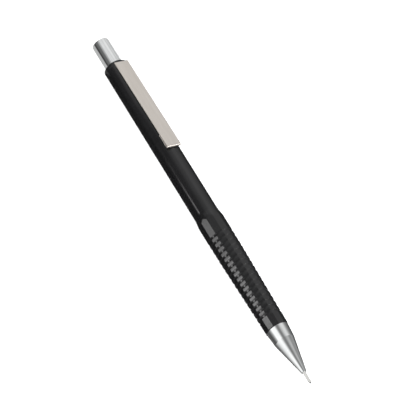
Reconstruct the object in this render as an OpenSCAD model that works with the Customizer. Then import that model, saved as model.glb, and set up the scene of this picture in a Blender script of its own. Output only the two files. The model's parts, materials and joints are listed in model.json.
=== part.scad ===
// Mechanical pencil for 0.5 mm lead, lying on one facet of its grip.
// +X points to the writing tip, +Z up, and the clip is on top.
// Every piece is drawn standing on the tip: its own Z is the distance from the lead's end
// towards the cap, and its own X points to the clip. laid() puts it in the row frame.

/* [Overall] */
// Length from the lead's end to the cap's end
overall_l = 143.7; // [142:0.1:150]
// Radius of the round barrel
barrel_r = 4.18; // [4.1:0.02:4.2]
// Distance from the lead's end to the joint of cone and barrel
joint_at = 21.2; // [21:0.1:21.4]

/* [Grip] */
// Half the width across facets where the grip is widest
grip_wide = 4.475; // [4.45:0.005:4.6]
// Half the width across facets where the front taper eases off
grip_mid = 4.41; // [4.3:0.01:4.44]
// Half the width across facets at the cone
grip_front = 3.82; // [3.8:0.01:3.9]
// Depth of the ring grooves below the middle of the facets: they cut deeper into the corners
groove_depth = 0.06; // [0.04:0.01:0.12]
// Width of one groove
groove_w = 0.9; // [0.5:0.02:1.1]
// Distance from groove to groove
groove_pitch = 2.025; // [1.9:0.005:2.1]
// Number of grooves
groove_count = 17; // [10:1:17]

/* [Nose] */
// Radius of the cone at the barrel
cone_back_r = 3.8; // [3.7:0.01:3.81]
// Radius where the two tapers of the cone meet
cone_bend_r = 3.42; // [3.3:0.01:3.5]
// Radius of the cone's tip
cone_tip_r = 0.9; // [0.8:0.01:1]
// Free length of the lead sleeve
sleeve_free_l = 4; // [3:0.1:4.2]
// Radius of the lead sleeve
sleeve_r = 0.5; // [0.42:0.01:0.55]
// Radius of the lead
lead_r = 0.28; // [0.26:0.005:0.285]

/* [Cap] */
// Radius of the push cap
cap_r = 3.08; // [3.06:0.01:3.1]
// Length of the cap that shows
cap_free_l = 10.6; // [10:0.1:12]
// Radius of the cap's back edge
cap_edge_r = 0.35; // [0.2:0.05:0.9]
// Travel of the button
push_travel = 4; // [2:0.1:4]

/* [Clip] */
// Width of the clip
clip_w = 5.4; // [5:0.1:5.6]
// Thickness of the clip's sheet
clip_t = 0.4; // [0.3:0.02:0.42]
// Length of the clip from its root to its free end
clip_l = 38.1; // [34:0.1:42]
// Height of the clip's outer face over the axis at its root
clip_root_h = 4.62; // [4.62:0.01:4.8]
// Height of the clip's outer face over the axis at its free end
clip_end_h = 5.22; // [5.22:0.01:5.5]
// Length of the hem folded under the free end
hem_l = 5.2; // [3:0.1:7]

/* [Hidden] */
$fn = 96;
// How far a cutting tool runs past the face it cuts
past = 0.5;
// Clearance of parts that are pressed together, and of parts that slide
snug = 0.01;
slack = 0.05;
// Clearance behind a step, and radial clearance of a pressed step
end_gap = 0.1;
step_gap = 0.02;

// Height of the axis, with one facet of the grip on the ground
axis_h = grip_wide;

// Back end
collar_l = 1.6;
collar_end = overall_l - cap_free_l;
collar_at = collar_end - collar_l;
collar_chamfer = 0.5;
collar_bore_r = 3.18;
spigot_r = 3.5;
spigot_l = 5;
washer_r = 3.88;

// Grip
groove_front_at = 26.1;
grip_bend_at = groove_front_at + 12 * groove_pitch;
grip_full_at = groove_front_at + 16 * groove_pitch;
flare_at = 65;
flare_l = 2.8;
front_chamfer = 0.3;
facet_count = 12;
corner_r = grip_wide / cos(180 / facet_count);
// A radius outside the grip's corners
clear_r = corner_r + 0.2;

// Nose cone and its thread
sleeve_at = 0.25;
cone_tip_at = sleeve_at + sleeve_free_l;
cone_bend_at = joint_at - 4.7;
shank_l = 6;
shank_end = joint_at + shank_l;
shank_core_r = 2.8;
thread_r = 3;
thread_pitch = 0.75;
thread_count = 6;
// Half the width of a thread ridge at its foot and at its crest, and how deep it is rooted
ridge_foot = 0.3;
ridge_top = 0.08;
ridge_root = 0.1;
nose_bore_r = thread_r + slack;
retainer_at = 7.5;
retainer_l = 2.8;
retainer_r = 1.1;
lead_bore_r = lead_r + step_gap;

// Clutch
ring_at = joint_at - 1.2;
ring_l = 2;
ring_r = 2;
ring_travel = 1;
ring_gap = 0.15;
ring_wide_r = 1.37;
ring_narrow_r = 1.26;
jaw_at = ring_at - 2.8;
// Front end of the room that the jaws move in
jaw_room_at = ring_at - 7.4;
jaw_head_l = 1.6;
jaw_taper_l = 2.95;
jaw_root_at = ring_at + 10;
jaw_gap = 0.05;
jaw_head_r = 1.5;
jaw_chamfer_r = 0.3;
jaw_chamfer_l = 0.4;
// Where the jaws stop gripping the lead, and the funnel behind it
jaw_grip_end = ring_at + 1.2;
jaw_funnel_l = 0.3;
finger_r = 1.1;
finger_bore_r = 0.45;
slit = 0.2;

// Spring housing and spring
housing_at = ring_at + ring_l;
housing_r = 2.25;
housing_bore_r = 1.85;
housing_wall = 1;
housing_end = housing_at + 22;
flange_r = 2.95;
flange_l = 1;
spring_at = housing_at + housing_wall;
spring_end = spring_at + 16;
spring_r = 1.5;
wire_r = 0.15;
spring_turns = 10;
spring_steps = 16;
wire_sides = 6;
// How much closer the end coils are wound, as a share of the mean pitch
spring_closing = 0.72;

// Lead tube and its connector
plug_r = 1.75;
plug_l = 9.6;
plug_flange_l = 0.4;
plug_flange_at = spring_end + plug_l;
tube_at = plug_flange_at + plug_flange_l;
tube_r = 2.4;
tube_bore_r = 2;
tube_end = collar_at;
stem_end = spring_end + 3;
plug_end = tube_at + 6;
funnel_l = 1;
funnel_r = 1.6;
tube_room_r = 2.75;
wide_room_r = 3.15;
wide_room_at = 60;
lead_l = 60;

// Push cap and what it covers
cap_step_at = collar_end + end_gap;
cap_guide_r = 2.75;
cap_at = collar_at - push_travel;
cap_inner_r = tube_r + slack;
cap_top = 0.5;
ferrule_l = 4;
ferrule_wall = 0.15;
eraser_r = 2.1;
eraser_depth = 6.4;
eraser_end = overall_l - eraser_depth;
eraser_chamfer = 0.3;
pin_l = 24;
pin_r = 0.2;

// Clip
clip_root_at = collar_at + clip_t;
clip_end_at = clip_root_at - clip_l;
bend_r = 0.5;
bend_steps = 16;
bend_at = clip_end_at + bend_r;
bend_h = clip_end_h - bend_r;
tongue_inset = 1.4;
tongue_w = clip_w - tongue_inset;
clip_corner = 0.8;
root_gap = 0.05;

// The facets' distance from the axis at one distance from the lead's end
function facet_h(at) = lookup(at, [
    [joint_at, grip_front],
    [grip_bend_at, grip_mid],
    [grip_full_at, grip_wide]
]);

// A point on the spring's centre line, for a share of its length from 0 to 1
function spring_z(share) =
    spring_at + wire_r
    + (spring_end - spring_at - 2 * wire_r)
    * (share - spring_closing * sin(360 * share) / (2 * PI));

// Puts a piece that stands on the tip into the row frame
module laid() {
    translate([overall_l / 2, 0, axis_h])
        rotate([0, -90, 0])
            children();
}

// A round bar between two distances from the lead's end
module rod(r, from, to) {
    translate([0, 0, from])
        cylinder(r = r, h = to - from);
}

// A tube between two distances from the lead's end
module tube(r, bore_r, from, to) {
    difference() {
        rod(r, from, to);
        rod(bore_r, from - past, to + past);
    }
}

// A side outline, given as [height, distance], drawn across the clip's width
module across(w) {
    rotate([90, 0, 0])
        linear_extrude(w, center = true)
            children();
}

// The twelve facets of the grip, run on to the back end
module facets() {
    intersection_for (turn = [0 : facet_count / 2 - 1])
        rotate([0, 0, turn * 360 / facet_count])
            across(4 * barrel_r)
                polygon([
                    [-grip_front, joint_at],
                    [grip_front, joint_at],
                    [grip_mid, grip_bend_at],
                    [grip_wide, grip_full_at],
                    [grip_wide, collar_at],
                    [-grip_wide, collar_at],
                    [-grip_wide, grip_full_at],
                    [-grip_mid, grip_bend_at]
                ]);
}

// The turned outline that the facets are cut into
module barrel_outline() {
    rotate_extrude()
        polygon([
            [0, joint_at],
            [grip_front - slack, joint_at],
            [grip_front - slack + front_chamfer, joint_at + front_chamfer],
            [clear_r, joint_at + 2 * front_chamfer],
            [clear_r, flare_at - (clear_r - corner_r) * flare_l / (corner_r - barrel_r)],
            [barrel_r, flare_at + flare_l],
            [barrel_r, collar_at],
            [0, collar_at]
        ]);
}

module barrel() {
    color([0.09, 0.09, 0.1])
        laid()
            difference() {
                intersection() {
                    facets();
                    barrel_outline();
                }
                for (groove = [0 : groove_count - 1]) {
                    middle = groove_front_at + groove * groove_pitch;
                    tube(
                        corner_r + past,
                        facet_h(middle) - groove_depth,
                        middle - groove_w / 2,
                        middle + groove_w / 2
                    );
                }
                rod(nose_bore_r, joint_at - past, shank_end + flange_l);
                rod(tube_room_r, joint_at, wide_room_at + past);
                rod(wide_room_r, wide_room_at, collar_at);
                rod(spigot_r + slack, collar_at - spigot_l - end_gap, collar_at + past);
            }
}

module end_collar() {
    color([0.09, 0.09, 0.1])
        laid()
            difference() {
                rotate_extrude()
                    polygon([
                        [collar_bore_r, collar_at - spigot_l],
                        [spigot_r, collar_at - spigot_l],
                        [spigot_r, collar_at + clip_t + snug],
                        [washer_r + step_gap, collar_at + clip_t + snug],
                        [washer_r + step_gap, collar_at],
                        [barrel_r, collar_at],
                        [barrel_r, collar_end - collar_chamfer],
                        [barrel_r - collar_chamfer, collar_end],
                        [collar_bore_r, collar_end]
                    ]);
                translate([spigot_r, -tongue_w / 2 - slack, collar_at - past])
                    cube([barrel_r, tongue_w + 2 * slack, clip_t + slack + past]);
            }
}

module clip_anchor() {
    color([0.78, 0.75, 0.72])
        laid() {
            difference() {
                union() {
                    rod(washer_r, collar_at, clip_root_at);
                    translate([spigot_r, -tongue_w / 2, collar_at])
                        cube([clip_root_h - clip_t - root_gap - spigot_r, tongue_w, clip_t]);
                }
                rod(spigot_r + slack, collar_at - past, clip_root_at + past);
            }
        }
}

// Points of a half circle round the bend's centre, on the free end's side
function bend_arc(r, from, to) = [
    for (step = [0 : bend_steps])
        let (turn = from + (to - from) * step / bend_steps)
        [bend_h + r * cos(turn), bend_at - r * sin(turn)]
];

// Side outline of the clip: strip, bend and hem
module clip_outline() {
    polygon(concat(
        [[clip_root_h, clip_root_at]],
        bend_arc(bend_r, 0, 180),
        [[bend_h - bend_r, bend_at + hem_l]],
        [[bend_h - bend_r + clip_t, bend_at + hem_l]],
        bend_arc(bend_r - clip_t, 180, 0),
        [[clip_root_h - clip_t, clip_root_at]]
    ));
}

// Outline of the clip seen from above, with its root corners cut
module clip_plan() {
    rotate([90, 0, 90])
        linear_extrude(2 * barrel_r)
            polygon([
                [-clip_w / 2, clip_end_at - past],
                [clip_w / 2, clip_end_at - past],
                [clip_w / 2, clip_root_at - clip_corner],
                [clip_w / 2 - clip_corner, clip_root_at],
                [-clip_w / 2 + clip_corner, clip_root_at],
                [-clip_w / 2, clip_root_at - clip_corner]
            ]);
}

module clip_arm() {
    color([0.78, 0.75, 0.72])
        laid()
            intersection() {
                across(clip_w)
                    clip_outline();
                clip_plan();
            }
}

module push_cap() {
    color([0.84, 0.85, 0.85])
        laid()
            difference() {
                rotate_extrude() {
                    translate([0, cap_at])
                        square([cap_guide_r, cap_step_at - cap_at]);
                    translate([0, cap_step_at])
                        square([cap_r, overall_l - cap_edge_r - cap_step_at]);
                    translate([0, cap_step_at])
                        square([cap_r - cap_edge_r, overall_l - cap_step_at]);
                    intersection() {
                        translate([cap_r - cap_edge_r, overall_l - cap_edge_r])
                            circle(r = cap_edge_r);
                        translate([cap_r - cap_edge_r, overall_l - cap_edge_r])
                            square(cap_edge_r);
                    }
                }
                rod(cap_inner_r, cap_at - past, overall_l - cap_top);
            }
}

module eraser() {
    color([0.95, 0.95, 0.93])
        laid()
            rotate_extrude()
                polygon([
                    [0, tube_end - ferrule_l + ferrule_wall],
                    [tube_bore_r - 2 * snug - ferrule_wall, tube_end - ferrule_l + ferrule_wall],
                    [tube_bore_r - 2 * snug - ferrule_wall, tube_end],
                    [eraser_r, tube_end],
                    [eraser_r, eraser_end - eraser_chamfer],
                    [eraser_r - eraser_chamfer, eraser_end],
                    [0, eraser_end]
                ]);
}

module eraser_ferrule() {
    color([0.8, 0.8, 0.8])
        laid()
            difference() {
                rod(tube_bore_r - snug, tube_end - ferrule_l, tube_end);
                rod(tube_bore_r - snug - ferrule_wall, tube_end - ferrule_l + ferrule_wall, tube_end + past);
            }
}

module cleaning_pin() {
    color([0.75, 0.75, 0.75])
        laid()
            rod(pin_r, tube_end - ferrule_l - pin_l, tube_end - ferrule_l);
}

module lead_tube() {
    color([0.85, 0.86, 0.84])
        laid()
            tube(tube_r, tube_bore_r, tube_at, tube_end);
}

module spare_leads() {
    color([0.2, 0.2, 0.21])
        laid()
            for (turn = [0 : 120 : 240])
                rotate([0, 0, turn])
                    translate([tube_bore_r / 2 + lead_r, 0, 0])
                        rod(lead_r, plug_end, plug_end + lead_l);
}

module tube_connector() {
    color([0.8, 0.65, 0.35])
        laid()
            rotate_extrude()
                polygon([
                    [finger_r + snug, spring_end],
                    [plug_r, spring_end],
                    [plug_r, plug_flange_at],
                    [tube_r, plug_flange_at],
                    [tube_r, tube_at],
                    [tube_bore_r - snug, tube_at],
                    [tube_bore_r - snug, plug_end],
                    [funnel_r, plug_end],
                    [finger_bore_r, plug_end - funnel_l],
                    [finger_bore_r, stem_end],
                    [finger_r + snug, stem_end]
                ]);
}

module collet_stem() {
    color([0.8, 0.65, 0.35])
        laid()
            tube(finger_r, finger_bore_r, jaw_root_at, stem_end);
}

// One jaw of the clutch, with a slit on each side
module jaw(turn) {
    color([0.8, 0.65, 0.35])
        laid()
            rotate([0, 0, turn])
                intersection() {
                    rotate_extrude()
                        polygon([
                            [lead_bore_r, jaw_at],
                            [jaw_head_r - jaw_chamfer_r, jaw_at],
                            [jaw_head_r, jaw_at + jaw_chamfer_l],
                            [jaw_head_r, jaw_at + jaw_head_l],
                            [finger_r, jaw_at + jaw_head_l + jaw_taper_l],
                            [finger_r, jaw_root_at - jaw_gap],
                            [finger_bore_r, jaw_root_at - jaw_gap],
                            [finger_bore_r, jaw_grip_end + jaw_funnel_l],
                            [lead_bore_r, jaw_grip_end]
                        ]);
                    translate([slit / 2 / sin(60), 0, jaw_at - past])
                        linear_extrude(jaw_root_at - jaw_at + 2 * past)
                            polygon([
                                [0, 0],
                                [4 * cos(60), -4 * sin(60)],
                                [4, 0],
                                [4 * cos(60), 4 * sin(60)]
                            ]);
                }
}

module collet_jaw_1() {
    jaw(0);
}

module collet_jaw_2() {
    jaw(120);
}

module collet_jaw_3() {
    jaw(240);
}

module clutch_ring() {
    color([0.8, 0.65, 0.35])
        laid()
            rotate_extrude()
                polygon([
                    [ring_wide_r, ring_at],
                    [ring_r, ring_at],
                    [ring_r, ring_at + ring_l],
                    [ring_narrow_r, ring_at + ring_l],
                    [ring_narrow_r, ring_at + ring_l / 2]
                ]);
}

// The return spring: a wire swept along a coil whose ends are wound closer
module spring() {
    rings = spring_turns * spring_steps;
    points = [
        for (i = [0 : rings])
            for (k = [0 : wire_sides - 1])
                let (
                    turn = 360 * i / spring_steps,
                    side = 360 * k / wire_sides,
                    r = spring_r + wire_r * cos(side)
                )
                [r * cos(turn), r * sin(turn), spring_z(i / rings) + wire_r * sin(side)]
    ];
    skin = [
        for (i = [0 : rings - 1])
            for (k = [0 : wire_sides - 1])
                let (next = (k + 1) % wire_sides)
                [
                    i * wire_sides + k,
                    i * wire_sides + next,
                    (i + 1) * wire_sides + next,
                    (i + 1) * wire_sides + k
                ]
    ];
    first = [[for (k = [wire_sides - 1 : -1 : 0]) k]];
    last = [[for (k = [0 : wire_sides - 1]) rings * wire_sides + k]];
    color([0.7, 0.7, 0.72])
        laid()
            polyhedron(points, concat(skin, first, last));
}

module inner_sleeve() {
    color([0.85, 0.85, 0.83])
        laid()
            difference() {
                union() {
                    rod(housing_r, housing_at, housing_end);
                    rod(flange_r, shank_end, shank_end + flange_l);
                }
                rod(housing_bore_r, spring_at, housing_end + past);
                rod(finger_r + 2 * slack, housing_at - past, spring_at + past);
            }
}

module nose_cone() {
    color([0.84, 0.85, 0.85])
        laid()
            difference() {
                union() {
                    rotate_extrude()
                        polygon([
                            [0, cone_tip_at],
                            [cone_tip_r, cone_tip_at],
                            [cone_bend_r, cone_bend_at],
                            [cone_back_r, joint_at],
                            [shank_core_r, joint_at],
                            [shank_core_r, shank_end],
                            [0, shank_end]
                        ]);
                    rotate_extrude()
                        for (ridge = [0 : thread_count - 1])
                            translate([shank_core_r, joint_at + (ridge + 1) * thread_pitch])
                                polygon([
                                    [-ridge_root, -ridge_foot],
                                    [0, -ridge_foot],
                                    [thread_r - shank_core_r, -ridge_top],
                                    [thread_r - shank_core_r, ridge_top],
                                    [0, ridge_foot],
                                    [-ridge_root, ridge_foot]
                                ]);
                }
                rod(sleeve_r + snug, cone_tip_at - past, retainer_at + past);
                rod(retainer_r + slack, retainer_at, shank_end);
                rod(housing_bore_r, jaw_room_at, shank_end);
                rod(ring_r + ring_gap, ring_at - ring_travel - end_gap, shank_end);
                rod(housing_r + slack + step_gap, housing_at - end_gap, shank_end + past);
            }
}

module lead_sleeve() {
    color([0.75, 0.75, 0.72])
        laid()
            tube(sleeve_r, lead_bore_r, sleeve_at, retainer_at);
}

module lead_retainer() {
    color([0.25, 0.25, 0.25])
        laid()
            tube(retainer_r, lead_bore_r, retainer_at, retainer_at + retainer_l);
}

module lead() {
    color([0.2, 0.2, 0.21])
        laid()
            rod(lead_r, 0, lead_l);
}

barrel();
end_collar();
clip_anchor();
clip_arm();
push_cap();
eraser();
eraser_ferrule();
cleaning_pin();
lead_tube();
spare_leads();
tube_connector();
collet_stem();
collet_jaw_1();
collet_jaw_2();
collet_jaw_3();
clutch_ring();
spring();
inner_sleeve();
nose_cone();
lead_sleeve();
lead_retainer();
lead();
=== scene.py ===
import json
import math

import bmesh
import bpy
import numpy as np
from mathutils import Matrix, Vector


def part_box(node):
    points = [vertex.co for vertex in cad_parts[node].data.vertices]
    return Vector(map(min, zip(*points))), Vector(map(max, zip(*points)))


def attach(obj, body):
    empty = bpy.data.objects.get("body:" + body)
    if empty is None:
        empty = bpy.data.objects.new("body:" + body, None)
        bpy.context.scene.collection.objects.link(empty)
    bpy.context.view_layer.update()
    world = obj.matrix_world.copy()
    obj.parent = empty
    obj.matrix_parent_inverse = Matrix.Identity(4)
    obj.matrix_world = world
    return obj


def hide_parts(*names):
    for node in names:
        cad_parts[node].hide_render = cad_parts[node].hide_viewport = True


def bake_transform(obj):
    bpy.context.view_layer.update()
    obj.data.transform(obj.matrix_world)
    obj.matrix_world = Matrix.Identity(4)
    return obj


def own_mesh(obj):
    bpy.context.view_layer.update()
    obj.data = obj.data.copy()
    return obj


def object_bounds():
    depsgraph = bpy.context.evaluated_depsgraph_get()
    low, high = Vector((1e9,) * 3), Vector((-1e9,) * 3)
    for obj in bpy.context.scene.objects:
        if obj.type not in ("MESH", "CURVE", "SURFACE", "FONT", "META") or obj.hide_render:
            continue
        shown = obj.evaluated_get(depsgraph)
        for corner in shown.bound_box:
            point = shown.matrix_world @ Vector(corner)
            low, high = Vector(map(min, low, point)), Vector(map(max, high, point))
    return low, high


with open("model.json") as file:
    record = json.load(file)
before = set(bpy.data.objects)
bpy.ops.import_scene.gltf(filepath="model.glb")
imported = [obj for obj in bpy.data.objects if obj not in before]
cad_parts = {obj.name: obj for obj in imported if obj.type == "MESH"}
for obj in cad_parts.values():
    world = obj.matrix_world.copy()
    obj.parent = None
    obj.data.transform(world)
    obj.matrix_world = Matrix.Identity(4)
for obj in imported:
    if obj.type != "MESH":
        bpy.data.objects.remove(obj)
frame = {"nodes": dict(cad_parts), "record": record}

# ---------------------------------------------------------------- places from the frame
MM = 0.001
cad_low, cad_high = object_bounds()
TIP_X = cad_high.x
BACK_X = cad_low.x
BARREL_LOW, BARREL_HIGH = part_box("barrel")
COLLAR_LOW, COLLAR_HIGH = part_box("end_collar")
CONE_LOW, CONE_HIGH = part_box("nose_cone")
CAP_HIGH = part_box("push_cap")[1]
ARM_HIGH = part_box("clip_arm")[1]
ANCHOR_LOW, ANCHOR_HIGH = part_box("clip_anchor")
SLEEVE_LOW, SLEEVE_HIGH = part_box("lead_sleeve")

AXIS_Z = (BARREL_LOW.z + BARREL_HIGH.z) / 2
JOINT_X = BARREL_HIGH.x
COLLAR_X = BARREL_LOW.x
FLAT_HALF = BARREL_HIGH.y
BARREL_R = COLLAR_HIGH.y
CAP_R = CAP_HIGH.y
CONE_R = CONE_HIGH.y


def half_width(node):
    """A round node's radius."""
    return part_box(node)[1].y


# ---------------------------------------------------------------- mesh helpers
def new_object(name, verts, faces):
    """A mesh object with outward faces, from points and faces."""
    mesh = bpy.data.meshes.new(name)
    mesh.from_pydata([tuple(v) for v in verts], [], faces)
    bm = bmesh.new()
    bm.from_mesh(mesh)
    bmesh.ops.recalc_face_normals(bm, faces=bm.faces)
    bm.to_mesh(mesh)
    bm.free()
    obj = bpy.data.objects.new(name, mesh)
    bpy.context.scene.collection.objects.link(obj)
    return obj


def smooth(obj, sharp_deg):
    """Smooth shading that keeps real edges sharp and wide faces flat."""
    mesh = obj.data
    mesh.polygons.foreach_set("use_smooth", [True] * len(mesh.polygons))
    mesh.set_sharp_from_angle(angle=math.radians(sharp_deg))
    weighted = obj.modifiers.new("weighted", "WEIGHTED_NORMAL")
    weighted.keep_sharp = True
    return obj


def fillet(corners, steps=4):
    """An outline's points from its corners (x, r, radius), each rounded by an arc of that radius."""
    points = []
    for i, (x, r, radius) in enumerate(corners):
        here = np.array([x, r])
        if radius == 0:
            points.append(here)
            continue
        before = np.array(corners[i - 1][:2]) - here
        after = np.array(corners[(i + 1) % len(corners)][:2]) - here
        room = 0.49 * min(np.linalg.norm(before), np.linalg.norm(after))
        before /= np.linalg.norm(before)
        after /= np.linalg.norm(after)
        half = math.acos(max(-1, min(1, float(before @ after)))) / 2
        reach = min(radius / math.tan(half), room)
        radius = reach * math.tan(half)
        middle = (before + after) / np.linalg.norm(before + after)
        centre = here + middle * radius / math.sin(half)
        start, end = here + before * reach - centre, here + after * reach - centre
        sweep = math.pi - 2 * half
        for k in range(steps + 1):
            t = k / steps
            share = (
                math.sin((1 - t) * sweep) * start + math.sin(t * sweep) * end
            ) / math.sin(sweep)
            points.append(centre + share)
    return points


def turned(name, outline, sides=128, change=None):
    """A turned piece round the pencil's axis. The outline is a closed loop, or runs from axis to axis.
    change(x, r, angle) may move a point, and returns its new x and r."""
    angles = [2 * math.pi * k / sides for k in range(sides)]
    rings, verts = [], []
    for x, r in outline:
        if r < 1e-9:
            rings.append([len(verts)])
            verts.append((x, 0, AXIS_Z))
            continue
        ring = []
        for a in angles:
            px, pr = change(x, r, a) if change else (x, r)
            ring.append(len(verts))
            verts.append((px, pr * math.cos(a), AXIS_Z + pr * math.sin(a)))
        rings.append(ring)
    open_ended = len(rings[0]) == 1
    pairs = list(zip(rings, rings[1:])) + ([] if open_ended else [(rings[-1], rings[0])])
    return new_object(name, verts, [f for a, b in pairs for f in strip(a, b)])


def strip(a, b):
    """Faces between two rings of vertex numbers, either of which may be one point."""
    n = max(len(a), len(b))
    faces = []
    for k in range(n):
        m = (k + 1) % n
        face = [a[k % len(a)], a[m % len(a)], b[m % len(b)], b[k % len(b)]]
        faces.append(list(dict.fromkeys(face)))
    return faces


def swept(name, rings):
    """A skin over a row of rings of points, closed at both ends."""
    count = len(rings[0])
    verts = [p for ring in rings for p in ring]
    numbers = [list(range(i * count, (i + 1) * count)) for i in range(len(rings))]
    faces = [f for a, b in zip(numbers, numbers[1:]) for f in strip(a, b)]
    faces += [numbers[0], numbers[-1][::-1]]
    return new_object(name, verts, faces)


# ---------------------------------------------------------------- materials
class Shader:
    """A material made from nodes, with object coordinates in millimetres."""

    def __init__(self, name, metallic, roughness):
        self.material = bpy.data.materials.new(name)
        self.material.use_nodes = True
        self.tree = self.material.node_tree
        self.bsdf = self.tree.nodes["Principled BSDF"]
        self.bsdf.inputs["Metallic"].default_value = metallic
        self.bsdf.inputs["Roughness"].default_value = roughness
        self.place = self.tree.nodes.new("ShaderNodeTexCoord").outputs["Object"]

    def noise(self, size_mm, stretch=(1, 1, 1), detail=3):
        """Noise whose features are about size_mm across, stretched along the axes."""
        mapping = self.tree.nodes.new("ShaderNodeMapping")
        mapping.inputs["Scale"].default_value = [
            1 / (size_mm * MM * s) for s in stretch
        ]
        self.tree.links.new(self.place, mapping.inputs["Vector"])
        node = self.tree.nodes.new("ShaderNodeTexNoise")
        node.inputs["Scale"].default_value = 1
        node.inputs["Detail"].default_value = detail
        node.inputs["Roughness"].default_value = 0.55
        self.tree.links.new(mapping.outputs["Vector"], node.inputs["Vector"])
        return node.outputs["Fac"]

    def rings(self, pitch_mm):
        """Fine turning marks round the pencil's axis."""
        mapping = self.tree.nodes.new("ShaderNodeMapping")
        mapping.inputs["Scale"].default_value = [1 / (pitch_mm * MM), 0, 0]
        self.tree.links.new(self.place, mapping.inputs["Vector"])
        node = self.tree.nodes.new("ShaderNodeTexNoise")
        node.inputs["Scale"].default_value = 1
        node.inputs["Detail"].default_value = 2
        self.tree.links.new(mapping.outputs["Vector"], node.inputs["Vector"])
        return node.outputs["Fac"]

    def range(self, value, low, high):
        """A noise value spread between two numbers."""
        node = self.tree.nodes.new("ShaderNodeMapRange")
        node.inputs["From Min"].default_value = 0.3
        node.inputs["From Max"].default_value = 0.7
        node.inputs["To Min"].default_value = low
        node.inputs["To Max"].default_value = high
        self.tree.links.new(value, node.inputs["Value"])
        return node.outputs["Result"]

    def colour(self, value, low, high):
        """The base colour, between two colours by a noise value."""
        node = self.tree.nodes.new("ShaderNodeMix")
        node.data_type = "RGBA"
        node.inputs["A"].default_value = (*low, 1)
        node.inputs["B"].default_value = (*high, 1)
        self.tree.links.new(self.range(value, 0, 1), node.inputs["Factor"])
        self.tree.links.new(node.outputs["Result"], self.bsdf.inputs["Base Color"])

    def gloss(self, value, low, high):
        """Roughness between two values by a noise value."""
        self.tree.links.new(self.range(value, low, high), self.bsdf.inputs["Roughness"])

    def bump(self, value, height_mm):
        """Relief of that height from a noise value."""
        node = self.tree.nodes.new("ShaderNodeBump")
        node.inputs["Distance"].default_value = height_mm * MM
        self.tree.links.new(value, node.inputs["Height"])
        self.tree.links.new(node.outputs["Normal"], self.bsdf.inputs["Normal"])


def black_plastic():
    s = Shader("black_plastic", 0.0, 0.12)
    s.colour(s.noise(6), (0.0048, 0.0048, 0.0052), (0.0066, 0.0066, 0.0072))
    s.gloss(s.noise(0.9, detail=5), 0.10, 0.17)
    s.bump(s.noise(0.35, detail=2), 0.0012)
    s.bsdf.inputs["IOR"].default_value = 1.5
    return s.material


def chrome():
    s = Shader("chrome_plate", 1.0, 0.06)
    s.colour(s.noise(3), (0.76, 0.775, 0.775), (0.83, 0.84, 0.84))
    s.gloss(s.noise(0.5, stretch=(0.3, 1, 1), detail=5), 0.04, 0.10)
    s.bump(s.rings(0.06), 0.00008)
    return s.material


def satin_steel():
    s = Shader("satin_clip_steel", 1.0, 0.34)
    s.colour(s.noise(1.2, stretch=(12, 1, 1)), (0.735, 0.685, 0.63), (0.81, 0.76, 0.705))
    s.gloss(s.noise(0.12, stretch=(30, 1, 1), detail=4), 0.28, 0.42)
    s.bump(s.noise(0.06, stretch=(40, 1, 1), detail=2), 0.0006)
    return s.material


def sleeve_steel():
    s = Shader("ground_sleeve_steel", 1.0, 0.55)
    s.colour(s.noise(0.5), (0.93, 0.925, 0.9), (0.98, 0.975, 0.95))
    s.gloss(s.rings(0.05), 0.5, 0.62)
    s.bump(s.rings(0.04), 0.0003)
    return s.material


def wire_steel():
    s = Shader("drawn_wire_steel", 1.0, 0.3)
    s.colour(s.noise(0.4), (0.50, 0.50, 0.52), (0.62, 0.62, 0.64))
    s.gloss(s.noise(0.2, detail=4), 0.22, 0.38)
    s.bump(s.noise(0.05, detail=2), 0.0004)
    return s.material


def plated_steel():
    s = Shader("plated_ferrule_steel", 1.0, 0.2)
    s.colour(s.noise(0.8), (0.64, 0.64, 0.64), (0.74, 0.74, 0.74))
    s.gloss(s.noise(0.3, detail=4), 0.15, 0.3)
    s.bump(s.rings(0.08), 0.0003)
    return s.material


def brass():
    s = Shader("turned_brass", 1.0, 0.25)
    s.colour(s.noise(1.5), (0.70, 0.50, 0.22), (0.80, 0.61, 0.31))
    s.gloss(s.rings(0.07), 0.18, 0.34)
    s.bump(s.rings(0.05), 0.0006)
    return s.material


def tube_plastic():
    s = Shader("extruded_tube_plastic", 0.0, 0.4)
    s.colour(s.noise(4, stretch=(6, 1, 1)), (0.68, 0.70, 0.68), (0.76, 0.78, 0.76))
    s.gloss(s.noise(0.5, stretch=(8, 1, 1)), 0.34, 0.48)
    s.bump(s.noise(0.15, stretch=(12, 1, 1)), 0.0008)
    s.bsdf.inputs["Subsurface Weight"].default_value = 0.2
    s.bsdf.inputs["Subsurface Scale"].default_value = 0.5 * MM
    return s.material


def housing_plastic():
    s = Shader("moulded_housing_plastic", 0.0, 0.45)
    s.colour(s.noise(3), (0.60, 0.60, 0.57), (0.68, 0.68, 0.65))
    s.gloss(s.noise(0.4), 0.4, 0.55)
    s.bump(s.noise(0.12, detail=4), 0.0015)
    return s.material


def eraser_vinyl():
    s = Shader("eraser_vinyl", 0.0, 0.65)
    s.colour(s.noise(0.6, detail=6), (0.78, 0.77, 0.73), (0.88, 0.875, 0.85))
    s.gloss(s.noise(0.3), 0.58, 0.74)
    s.bump(s.noise(0.12, detail=5), 0.004)
    s.bsdf.inputs["Subsurface Weight"].default_value = 0.15
    s.bsdf.inputs["Subsurface Scale"].default_value = 0.4 * MM
    return s.material


def retainer_rubber():
    s = Shader("retainer_rubber", 0.0, 0.7)
    s.colour(s.noise(0.4), (0.022, 0.022, 0.024), (0.035, 0.035, 0.037))
    s.gloss(s.noise(0.2), 0.62, 0.8)
    s.bump(s.noise(0.08, detail=4), 0.002)
    return s.material


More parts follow.
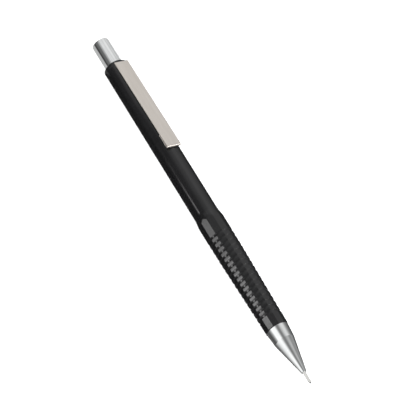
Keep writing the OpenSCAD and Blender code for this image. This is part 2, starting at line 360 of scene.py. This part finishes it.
def graphite():
    s = Shader("graphite_lead", 0.0, 0.4)
    s.colour(s.noise(0.15, detail=5), (0.085, 0.086, 0.091), (0.14, 0.142, 0.148))
    s.gloss(s.noise(0.1), 0.32, 0.5)
    s.bump(s.noise(0.05, stretch=(6, 1, 1)), 0.001)
    s.bsdf.inputs["Specular IOR Level"].default_value = 0.8
    return s.material


def floor_paper():
    s = Shader("pale_floor", 0.0, 0.7)
    s.colour(s.noise(180), (0.86, 0.86, 0.86), (0.88, 0.88, 0.88))
    return s.material


MATERIALS = {
    "black_plastic": black_plastic(),
    "clip_steel": satin_steel(),
    "chrome": chrome(),
    "plated_steel": plated_steel(),
    "wire_steel": wire_steel(),
    "sleeve_steel": sleeve_steel(),
    "brass": brass(),
    "tube_plastic": tube_plastic(),
    "housing_plastic": housing_plastic(),
    "eraser_vinyl": eraser_vinyl(),
    "retainer_rubber": retainer_rubber(),
    "graphite": graphite(),
}


def dress(obj, slot):
    """Gives a piece its slot's material."""
    obj.data.materials.clear()
    obj.data.materials.append(MATERIALS[slot])


def place(obj, slot, body, *nodes):
    """A finished piece: its material, the body it moves with and the CAD nodes it stands for."""
    dress(obj, slot)
    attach(obj, body)
    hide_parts(*nodes)


# ---------------------------------------------------------------- barrel
FACETS = 12
GROOVES = 17
GROOVE_PITCH = 2.025 * MM
GROOVE_FRONT = 26.1 * MM
GROOVE_DEPTH = 0.06 * MM
GROOVE_HALF = 0.45 * MM
FRONT_HALF = 3.82 * MM
BEND_HALF = 4.41 * MM
EDGE_R = 0.16 * MM
REAR_ROOM_R = 3.55 * MM
REAR_ROOM_L = 5.1 * MM
MIDDLE_ROOM_R = 3.15 * MM
MIDDLE_ROOM_END = TIP_X - 60 * MM
HOUSING_ROOM_R = 2.75 * MM
FRONT_ROOM_R = 3.05 * MM
FLARE_AT = 65 * MM
FLARE_L = 2.8 * MM
JOINT_AT = TIP_X - JOINT_X
COLLAR_AT = TIP_X - COLLAR_X
CORNER_R = FLAT_HALF / math.cos(math.pi / FACETS)


def facet_half(at):
    """Half the grip's width across facets, at a distance from the lead's end."""
    bend_groove = 12
    bend = GROOVE_FRONT + bend_groove * GROOVE_PITCH
    full = GROOVE_FRONT + (GROOVES - 1) * GROOVE_PITCH
    return float(np.interp(at, [JOINT_AT, bend, full], [FRONT_HALF, BEND_HALF, FLAT_HALF]))


def facet_radius(half, off):
    """Distance to a twelve-sided outline with rounded corners, off radians from a facet's middle."""
    corner = math.pi / FACETS
    centre = (half - EDGE_R) / math.cos(corner)
    off = abs(off)
    if math.tan(off) * half <= centre * math.sin(corner):
        return half / math.cos(off)
    turn = corner - off
    return centre * math.cos(turn) + math.sqrt(
        EDGE_R**2 - (centre * math.sin(turn)) ** 2
    )


def outline_radius(at):
    """The turned outline that bounds the facets: front chamfer, flare and round barrel."""
    chamfer = 0.3 * MM
    front = FRONT_HALF - 0.05 * MM + max(0.0, min(at - JOINT_AT, chamfer))
    if at - JOINT_AT < chamfer:
        return front
    if at < FLARE_AT - FLARE_L / 2:
        return CORNER_R + 0.2 * MM
    slope = (CORNER_R - BARREL_R) / FLARE_L
    cone = CORNER_R - slope * (at - FLARE_AT)
    soft = 0.06 * MM
    return 0.5 * (cone + BARREL_R + math.sqrt((cone - BARREL_R) ** 2 + soft**2))


def lower_of(a, b, soft):
    """The smaller of two lengths, with a soft corner."""
    return 0.5 * (a + b - math.sqrt((a - b) ** 2 + soft**2))


# Share of a groove's wall height at distances from the groove's middle, as shares of its half width
WALL = [
    (0.0, 0.0), (0.72, 0.0), (0.80, 0.05), (0.86, 0.22),
    (0.92, 0.55), (0.97, 0.85), (1.03, 0.97), (1.12, 1.0),
]


def groove_share(at):
    """1 on the lands between grooves, 0 on a groove's floor."""
    number = round((at - GROOVE_FRONT) / GROOVE_PITCH)
    number = max(0, min(GROOVES - 1, number))
    off = abs(at - GROOVE_FRONT - number * GROOVE_PITCH) / GROOVE_HALF
    return float(np.interp(off, [w[0] for w in WALL], [w[1] for w in WALL]))


def barrel_stations():
    """Distances from the lead's end at which the barrel's skin has a ring."""
    stations = [JOINT_AT + k * 0.1 * MM for k in range(5)]
    stations += list(np.linspace(JOINT_AT + 0.8 * MM, GROOVE_FRONT - 0.8 * MM, 5))
    for g in range(GROOVES):
        middle = GROOVE_FRONT + g * GROOVE_PITCH
        offs = sorted({s * w[0] for w in WALL for s in (-1, 1)})
        stations += [middle + o * GROOVE_HALF for o in offs]
    last = GROOVE_FRONT + (GROOVES - 1) * GROOVE_PITCH + GROOVE_HALF
    stations += list(np.linspace(last + 0.5 * MM, FLARE_AT - 1.6 * MM, 6))
    stations += list(np.linspace(FLARE_AT - 1.4 * MM, FLARE_AT + FLARE_L + 0.6 * MM, 40))
    stations += list(np.linspace(FLARE_AT + FLARE_L + 2 * MM, COLLAR_AT - 0.5 * MM, 14))
    edge = 0.06 * MM
    stations += [COLLAR_AT - edge, COLLAR_AT - edge / 3]
    return stations


def barrel_angles():
    """Ring angles, close together at the facets' corners."""
    near = [0.0, 0.3, 0.6, 0.95, 1.5, 5.0, 10.0]
    facet = 360 / FACETS
    corner = facet / 2
    steps = sorted({corner - n for n in near} | {n - corner for n in near} | {0.0})
    steps = [s for s in steps if s > -corner]
    return [
        (math.radians(90 + facet * f + s), math.radians(s))
        for f in range(FACETS)
        for s in steps
    ]


def make_barrel():
    angles = barrel_angles()
    soft = 0.03 * MM
    rings = []
    for at in barrel_stations():
        half, bound, share = facet_half(at), outline_radius(at), groove_share(at)
        floor = half - GROOVE_DEPTH
        ring = []
        for turn, off in angles:
            r = lower_of(facet_radius(half, off), bound, soft)
            r = floor + (r - floor) * share
            ring.append((TIP_X - at, r * math.cos(turn), AXIS_Z + r * math.sin(turn)))
        rings.append(ring)
    shank_l = JOINT_X - CONE_LOW.x
    shank_room_x = JOINT_X - shank_l - 1 * MM
    room = [
        (COLLAR_X, BARREL_R - 0.05 * MM),
        (COLLAR_X, REAR_ROOM_R),
        (COLLAR_X + REAR_ROOM_L, REAR_ROOM_R),
        (COLLAR_X + REAR_ROOM_L, MIDDLE_ROOM_R),
        (MIDDLE_ROOM_END, MIDDLE_ROOM_R),
        (MIDDLE_ROOM_END, HOUSING_ROOM_R),
        (shank_room_x, HOUSING_ROOM_R),
        (shank_room_x, FRONT_ROOM_R),
        (JOINT_X - 0.15 * MM, FRONT_ROOM_R),
        (JOINT_X, 3.2 * MM),
        (JOINT_X, FRONT_HALF - 0.12 * MM),
    ]
    for x, r in room:
        rings.append([(x, r * math.cos(t), AXIS_Z + r * math.sin(t)) for t, _ in angles])
    rings.append(rings[0])
    count = len(angles)
    verts = [p for ring in rings[:-1] for p in ring]
    numbers = [list(range(i * count, (i + 1) * count)) for i in range(len(rings) - 1)]
    numbers.append(numbers[0])
    faces = [f for a, b in zip(numbers, numbers[1:]) for f in strip(a, b)]
    barrel = smooth(new_object("barrel_shell", verts, faces), sharp_deg=50)
    place(barrel, "black_plastic", "barrel", "barrel")


# ---------------------------------------------------------------- collar and cap
def make_collar():
    """The ring behind the barrel, with a notch in its skirt for the clip."""
    chamfer = 0.5 * MM
    spigot_r, bore_r = 3.5 * MM, 3.18 * MM
    skirt_r = ANCHOR_HIGH.y + 0.02 * MM
    seat_x = ANCHOR_LOW.x - 0.01 * MM
    notch = math.radians(30.5)
    corners = [
        (COLLAR_HIGH.x, bore_r, 0.1 * MM),
        (COLLAR_HIGH.x, spigot_r, 0.15 * MM),
        (seat_x, spigot_r, 0),
        (seat_x, skirt_r, 0),
        (COLLAR_X, skirt_r, 0.03 * MM),
        (COLLAR_X, BARREL_R, 0.05 * MM),
        (COLLAR_LOW.x + chamfer, BARREL_R, 0.15 * MM),
        (COLLAR_LOW.x, BARREL_R - chamfer, 0.15 * MM),
        (COLLAR_LOW.x, bore_r, 0.12 * MM),
    ]

    def cut(x, r, angle):
        off = abs(angle - math.pi / 2)
        if off < notch and x > seat_x and r > spigot_r + 0.1 * MM:
            x = seat_x - 0.04 * MM
        return x, r

    collar = smooth(turned("end_collar_ring", fillet(corners), 180, cut), 40)
    place(collar, "black_plastic", "barrel", "end_collar")


def make_cap():
    """The drawn push cap, open at the front."""
    guide_r = 2.75 * MM
    bore_r = half_width("lead_tube") + 0.05 * MM
    step_x = COLLAR_LOW.x - 0.1 * MM
    top = 0.5 * MM
    corners = [
        (BACK_X, 0, 0),
        (BACK_X, CAP_R, 0.35 * MM),
        (step_x, CAP_R, 0.06 * MM),
        (step_x, guide_r, 0),
        (CAP_HIGH.x, guide_r, 0.1 * MM),
        (CAP_HIGH.x, bore_r, 0.08 * MM),
        (BACK_X + top, bore_r, 0.3 * MM),
        (BACK_X + top, 0, 0),
    ]
    cap = smooth(turned("push_cap_shell", fillet(corners, 8)), 40)
    place(cap, "chrome", "cap", "push_cap")


# ---------------------------------------------------------------- clip
def clip_path():
    """The sheet's middle line from its root in the collar to the hem's end: points (x, z, width)."""
    thick = 0.4 * MM
    half = thick / 2
    root_x = ANCHOR_LOW.x + half
    root_z = AXIS_Z + 4.62 * MM - half
    end_z = ARM_HIGH.z - half
    bend_r = 0.5 * MM - half
    end_x = ARM_HIGH.x - 0.5 * MM
    tongue, full = 4 * MM, ARM_HIGH.y * 2
    turn_r = 0.3 * MM
    slope = math.atan2(end_z - root_z, end_x - root_x)
    points = []
    low = AXIS_Z + REAR_ROOM_R
    for z in np.linspace(low, root_z - turn_r, 6):
        points.append((root_x, float(z), tongue))
    steps = 12
    for k in range(1, steps + 1):
        a = math.pi - k / steps * (math.pi / 2 - slope)
        grown = math.sqrt(1 - max(0, 1 - 2 * k / steps) ** 2)
        width = tongue + (full - tongue) * grown
        x = root_x + turn_r + turn_r * math.cos(a)
        z = root_z - turn_r + turn_r * math.sin(a)
        points.append((x, z, width))
    x0, z0, _ = points[-1]
    for x in np.linspace(x0, end_x, 28)[1:]:
        points.append((float(x), z0 + (end_z - z0) * (float(x) - x0) / (end_x - x0), full))
    for k in range(1, steps + 1):
        a = math.pi / 2 - k / steps * math.pi
        points.append((end_x + bend_r * math.cos(a), end_z - bend_r + bend_r * math.sin(a), full))
    hem_l, hem_steps = 5.2 * MM, 8
    for k in range(1, hem_steps + 1):
        points.append((end_x - hem_l * k / hem_steps, end_z - 2 * bend_r, full))
    return points, half


def make_clip():
    points, half = clip_path()
    edge = 0.18 * MM
    rings = []
    for i, (x, z, width) in enumerate(points):
        ahead = points[min(i + 1, len(points) - 1)]
        behind = points[max(i - 1, 0)]
        along = Vector((ahead[0] - behind[0], 0, ahead[1] - behind[1])).normalized()
        out = Vector((-along.z, 0, along.x))
        ring = []
        for quarter, (sy, sn) in enumerate(((1, 1), (-1, 1), (-1, -1), (1, -1))):
            for k in range(5):
                a = math.pi / 2 * (quarter + k / 4)
                y = sy * (width / 2 - edge) + edge * math.cos(a)
                n = sn * (half - edge) + edge * math.sin(a)
                ring.append((x + out.x * n, y, z + out.z * n))
        rings.append(ring)
    clip = smooth(swept("pocket_clip", rings), 50)
    dress(clip, "clip_steel")
    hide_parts("clip_arm")
    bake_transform(clip)
    washer_r, washer_edge_r = ANCHOR_HIGH.y, 0.05 * MM
    corners = [
        (ANCHOR_HIGH.x, REAR_ROOM_R, washer_edge_r),
        (ANCHOR_HIGH.x, washer_r, washer_edge_r),
        (ANCHOR_LOW.x, washer_r, washer_edge_r),
        (ANCHOR_LOW.x, REAR_ROOM_R, washer_edge_r),
    ]
    washer = smooth(turned("clip_washer", fillet(corners)), 50)
    place(washer, "clip_steel", "barrel", "clip_anchor")


# ---------------------------------------------------------------- nose
THREAD_PITCH = 0.75 * MM


def make_nose():
    """The turned cone, its threaded shank and its stepped bore."""
    bend_x, bend_r, tip_r = TIP_X - 16.5 * MM, 3.42 * MM, 0.9 * MM
    core_r, crest_r = 2.72 * MM, 3.0 * MM
    sleeve_bore_r = SLEEVE_HIGH.y + 0.01 * MM
    bore_radii = [2.32 * MM, 2.15 * MM, 1.85 * MM, 1.15 * MM]
    bore_ends = [TIP_X - 21.9 * MM, TIP_X - 18.9 * MM, TIP_X - 12.6 * MM, SLEEVE_LOW.x]
    bore_starts = [CONE_LOW.x, *bore_ends[:-1]]
    stepped_bore = [
        (x, r, 0)
        for start, end, r in zip(bore_starts, bore_ends, bore_radii)
        for x in (start, end)
    ]
    run_out = 0.35 * MM
    steps = int((JOINT_X - run_out - CONE_LOW.x) / (THREAD_PITCH / 12))
    shank = np.linspace(JOINT_X - run_out, CONE_LOW.x + 0.02 * MM, steps)
    corners = [
        (CONE_HIGH.x, tip_r, 0.12 * MM),
        (bend_x, bend_r, 2 * MM),
        (JOINT_X, CONE_R, 0.05 * MM),
        (JOINT_X, core_r, 0),
        *[(float(x), core_r, 0) for x in shank],
        *stepped_bore,
        (SLEEVE_LOW.x, sleeve_bore_r, 0),
        (CONE_HIGH.x, sleeve_bore_r, 0.03 * MM),
    ]

    def thread(x, r, angle):
        on_shank = abs(r - core_r) < 1e-7 and CONE_LOW.x < x < JOINT_X - run_out + 1e-7
        if not on_shank:
            return x, r
        turn = (x / THREAD_PITCH - angle / (2 * math.pi)) % 1
        ridge = max(0.0, min(1.0, 1.6 - abs(turn - 0.5) * 5))
        fade = min(1, (JOINT_X - run_out - x) / (0.6 * MM), (x - CONE_LOW.x) / (0.4 * MM))
        return x, r + (crest_r - core_r) * ridge * max(0.0, fade)

    cone = smooth(turned("nose_cone_shell", fillet(corners, 6), 144, thread), 24)
    place(cone, "chrome", "nose", "nose_cone")


def make_sleeve():
    bore_r = 0.3 * MM
    corners = [
        (SLEEVE_LOW.x, bore_r, 0),
        (SLEEVE_LOW.x, SLEEVE_HIGH.y, 0),
        (SLEEVE_HIGH.x, SLEEVE_HIGH.y, 0.07 * MM),
        (SLEEVE_HIGH.x, bore_r, 0.03 * MM),
    ]
    sleeve = smooth(turned("lead_sleeve_tube", fillet(corners, 5), 48), 40)
    place(sleeve, "sleeve_steel", "nose", "lead_sleeve")


def make_lead():
    low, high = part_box("lead")
    corners = [
        (low.x, 0, 0),
        (low.x, high.y, 0.04 * MM),
        (high.x, high.y, 0.1 * MM),
        (high.x, 0, 0),
    ]
    lead = smooth(turned("lead_stick", fillet(corners, 4), 32), 40)
    place(lead, "graphite", "lead_in_use", "lead")


# ---------------------------------------------------------------- under the cap
def make_eraser():
    low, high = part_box("eraser")
    ferrule_low, ferrule_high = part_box("eraser_ferrule")
    inside_r = ferrule_high.y - 0.16 * MM
    cup_r, cup_end_x = inside_r + 0.01 * MM, ferrule_high.x - 0.15 * MM
    corners = [
        (low.x, 0, 0),
        (low.x, high.y, 0.45 * MM),
        (ferrule_low.x, high.y, 0.05 * MM),
        (ferrule_low.x, inside_r, 0),
        (high.x, inside_r, 0.1 * MM),
        (high.x, 0, 0),
    ]
    eraser = smooth(turned("eraser_stick", fillet(corners, 6), 64), 40)
    place(eraser, "eraser_vinyl", "eraser_plug", "eraser")
    corners = [
        (ferrule_high.x, 0, 0),
        (ferrule_high.x, ferrule_high.y, 0.2 * MM),
        (ferrule_low.x, ferrule_high.y, 0.04 * MM),
        (ferrule_low.x, cup_r, 0.04 * MM),
        (cup_end_x, cup_r, 0.1 * MM),
        (cup_end_x, 0, 0),
    ]
    ferrule = smooth(turned("eraser_ferrule_cup", fillet(corners, 4), 64), 40)
    place(ferrule, "plated_steel", "eraser_plug", "eraser_ferrule")
    pin_low, pin_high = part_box("cleaning_pin")
    corners = [
        (pin_low.x, 0, 0),
        (pin_low.x, pin_high.y, 0),
        (pin_high.x, pin_high.y, 0.15 * MM),
        (pin_high.x, 0, 0),
    ]
    pin = smooth(turned("cleaning_pin_wire", fillet(corners, 5), 24), 40)
    place(pin, "wire_steel", "eraser_plug", "cleaning_pin")


def make_spring():
    """The return spring, its end coils wound close, drawn at its rest length; the real spring shortens
    as the button is pushed, but nothing here shortens this one.
    """
    low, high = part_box("spring")
    wire_r, turns, per_turn, sides, closing = 0.15 * MM, 10, 32, 10, 0.72
    coil_r = high.y - wire_r
    length = high.x - low.x - 2 * wire_r
    rings = []
    for i in range(turns * per_turn + 1):
        share = i / (turns * per_turn)
        turn = 2 * math.pi * i / per_turn
        wound = share - closing * math.sin(2 * math.pi * share) / (2 * math.pi)
        x = high.x - wire_r - length * wound
        ring = []
        for k in range(sides):
            a = 2 * math.pi * k / sides
            r = coil_r + wire_r * math.cos(a)
            ring.append((x + wire_r * math.sin(a), r * math.sin(turn), AXIS_Z + r * math.cos(turn)))
        rings.append(ring)
    spring = smooth(swept("return_spring", rings), 60)
    place(spring, "wire_steel", "barrel", "spring")
    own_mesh(spring)


make_barrel()
make_collar()
make_cap()
make_clip()
make_nose()
make_sleeve()
make_lead()
make_eraser()
make_spring()
KEPT_NODES = (
    "lead_tube", "spare_leads", "tube_connector", "collet_stem", "collet_jaw_1",
    "collet_jaw_2", "collet_jaw_3", "clutch_ring", "inner_sleeve", "lead_retainer",
)
SLOTS = {row["node"]: row["material_slot"] for row in frame["record"]["subparts"]}
for kept in KEPT_NODES:
    node = frame["nodes"][kept]
    node.data.materials.clear()
    node.data.materials.append(MATERIALS[SLOTS[kept]])


# ---------------------------------------------------------------- floor, light and camera
def make_floor():
    size = 3.0
    verts = [(-size, -size, 0), (size, -size, 0), (size, size, 0), (-size, size, 0)]
    floor = new_object("floor", verts, [[0, 1, 2, 3]])
    floor.data.materials.append(floor_paper())
    floor.visible_glossy = False


def area_light(name, place_m, target_m, size_m, radiance):
    """A soft panel of that radiance, seen only in reflections and by what it lights."""
    light = bpy.data.lights.new(name, "AREA")
    light.shape = "RECTANGLE"
    light.size, light.size_y = size_m
    light.energy = radiance * math.pi * size_m[0] * size_m[1]
    obj = bpy.data.objects.new(name, light)
    obj.location = place_m
    aim = Vector(target_m) - Vector(place_m)
    obj.rotation_euler = aim.to_track_quat("-Z", "Y").to_euler()
    obj.visible_camera = False
    bpy.context.scene.collection.objects.link(obj)


# Brightness of the studio by the angle from overhead, in degrees, positive behind the pencil.
# The first table is for light that comes from the cap's end, the last for light from square on.
# Each fade is the range of the direction's x in which one table gives way to the next.
CAP_FADE = (-0.39, -0.29)
SQUARE_FADE = (-0.22, -0.06)
FROM_CAP = [
    (-180, 0.06), (-109, 0.06), (-93, 0.13), (-73, 0.18), (-47, 0.18), (-35, 0.31),
    (-26, 0.5), (-17, 0.6), (-8, 0.67), (1, 0.79), (10, 0.9), (20, 0.93),
    (31, 0.84), (42, 0.66), (54, 0.5), (67, 0.38), (82, 0.12), (102, 0.05),
    (180, 0.05),
]
BETWEEN = [
    (-180, 0.2), (-169, 0.16), (-148, 0.1), (-132, 0.11), (-117, 0.24), (-104, 0.52),
    (-95, 0.92), (-88, 1.27), (-53, 1.22), (-47, 1.03), (-39, 0.54), (-31, 0.27),
    (-23, 0.24), (-15, 0.3), (-7, 0.48), (3, 0.7), (15, 0.83), (26, 0.86),
    (35, 0.78), (42, 0.62), (53, 0.38), (69, 0.23), (87, 0.14), (117, 0.1),
]
SQUARE_ON = [
    (-180, 0.3), (-153, 0.35), (-131, 0.55), (-113, 0.78), (-97, 1.08), (-67, 1.24),
    (-53, 1.0), (-47, 0.75), (-40, 0.44), (-29, 0.25), (-23, 0.24), (-13, 0.29),
    (1, 0.51), (16, 0.58), (22, 0.5), (31, 0.36), (48, 0.31), (69, 0.4),
    (95, 0.45), (127, 0.3),
]


def make_world():
    """A light tent as a world: bands of light along the pencil, which the gloss reflects."""
    world = bpy.data.worlds.new("studio")
    bpy.context.scene.world = world
    world.use_nodes = True
    tree = world.node_tree
    direction = tree.nodes.new("ShaderNodeTexCoord").outputs["Generated"]
    split = tree.nodes.new("ShaderNodeSeparateXYZ")
    tree.links.new(direction, split.inputs["Vector"])

    angle = tree.nodes.new("ShaderNodeMath")
    angle.operation = "ARCTAN2"
    tree.links.new(split.outputs["Y"], angle.inputs[0])
    tree.links.new(split.outputs["Z"], angle.inputs[1])
    share = tree.nodes.new("ShaderNodeMapRange")
    share.inputs["From Min"].default_value = -math.pi
    share.inputs["From Max"].default_value = math.pi
    tree.links.new(angle.outputs["Value"], share.inputs["Value"])

    def band(table):
        ramp = tree.nodes.new("ShaderNodeValToRGB")
        stops = ramp.color_ramp.elements
        while len(stops) < len(table):
            stops.new(0.5)
        for stop, (degrees, bright) in zip(stops, table):
            stop.position = (degrees + 180) / 360
            stop.color = (bright, bright, bright, 1)
        tree.links.new(share.outputs["Result"], ramp.inputs["Fac"])
        return ramp.outputs["Color"]

    def between(first, second, low, high):
        where = tree.nodes.new("ShaderNodeMapRange")
        where.interpolation_type = "SMOOTHSTEP"
        where.inputs["From Min"].default_value = low
        where.inputs["From Max"].default_value = high
        tree.links.new(split.outputs["X"], where.inputs["Value"])
        mix = tree.nodes.new("ShaderNodeMix")
        mix.data_type = "RGBA"
        tree.links.new(where.outputs["Result"], mix.inputs["Factor"])
        tree.links.new(first, mix.inputs["A"])
        tree.links.new(second, mix.inputs["B"])
        return mix.outputs["Result"]

    near = between(band(FROM_CAP), band(BETWEEN), *CAP_FADE)
    light = between(near, band(SQUARE_ON), *SQUARE_FADE)
    tree.links.new(light, tree.nodes["Background"].inputs["Color"])


# Panels along the pencil, aimed at it: name, x, distance from the axis, angle from overhead in
# degrees, positive behind the pencil, x that it is aimed at, size along x and across, radiance
PANELS = [
    ("low_strip", -0.11625, 0.302, -85, 0.022, 0.0625, 0.06, 3.1),
    ("front_strip", -0.0693, 0.302, -81, 0.022, 0.0314, 0.1, 4.5),
    ("cap_panel_top", -0.126, 0.117, -21.5, -0.068, 0.05, 0.045, 0.25),
    ("cap_panel_mid", -0.126, 0.117, -39.3, -0.068, 0.05, 0.029, 0.42),
    ("cap_panel_low", -0.126, 0.117, -53.6, -0.068, 0.05, 0.029, 0.25),
    ("cap_panel_back", -0.126, 0.117, 68.8, -0.068, 0.05, 0.080, 0.33),
    ("cap_panel_rim", -0.126, 0.117, 103, -0.068, 0.05, 0.060, 0.85),
    ("bend_panel", 0.27, 0.408, 27, -0.021, 0.24, 0.24, 4.5),
]


def make_lights():
    """Soft panels near the pencil, a card on the floor, and an even light on the floor."""
    for name, x, distance, degrees, aim_x, along, across, radiance in PANELS:
        turn = math.radians(degrees)
        stand = (x, distance * math.sin(turn), AXIS_Z + distance * math.cos(turn))
        area_light(name, stand, (aim_x, 0, AXIS_Z), (along, across), radiance)
    card_x, card_y, card_z = -0.073, -0.0065, 0.0003
    card_size, card_radiance = (0.022, 0.009), 0.5
    area_light("cap_card", (card_x, card_y, card_z), (card_x, card_y, 1), card_size, card_radiance)
    fill = bpy.data.lights.new("floor_fill", "SUN")
    fill.energy = 3.4
    fill.angle = math.radians(20)
    fill.use_shadow = False
    obj = bpy.data.objects.new("floor_fill", fill)
    obj.visible_glossy = False
    bpy.context.scene.collection.objects.link(obj)


def make_camera():
    """The camera looks along the pencil's side from above, with the tip nearer to it."""
    clip_turn = math.radians(36.5)
    tilt = math.radians(25.5)
    lean = math.radians(58.19)
    distance = 0.749
    beside, below = 2.52 * MM, 2.21 * MM
    to_tip = Vector((1, 0, 0))
    facing = Vector((0, -math.sin(clip_turn), math.cos(clip_turn)))
    side = Vector((0, math.cos(clip_turn), math.sin(clip_turn)))
    back = math.cos(tilt) * facing + math.sin(tilt) * to_tip
    along = math.cos(tilt) * to_tip - math.sin(tilt) * facing
    right = math.cos(lean) * along + math.sin(lean) * side
    up = -math.sin(lean) * along + math.cos(lean) * side
    aim = Vector((TIP_X - 74.3 * MM, 0, AXIS_Z))
    data = bpy.data.cameras.new("camera")
    data.lens = 199.5
    data.sensor_width = 36
    camera = bpy.data.objects.new("camera", data)
    turn = Matrix((right, up, back)).transposed()
    stand = aim + back * distance + right * beside - up * below
    camera.matrix_world = Matrix.Translation(stand) @ turn.to_4x4()
    bpy.context.scene.collection.objects.link(camera)
    bpy.context.scene.camera = camera


make_floor()
make_world()
make_lights()
make_camera()
bpy.context.scene.view_settings.view_transform = "Standard"
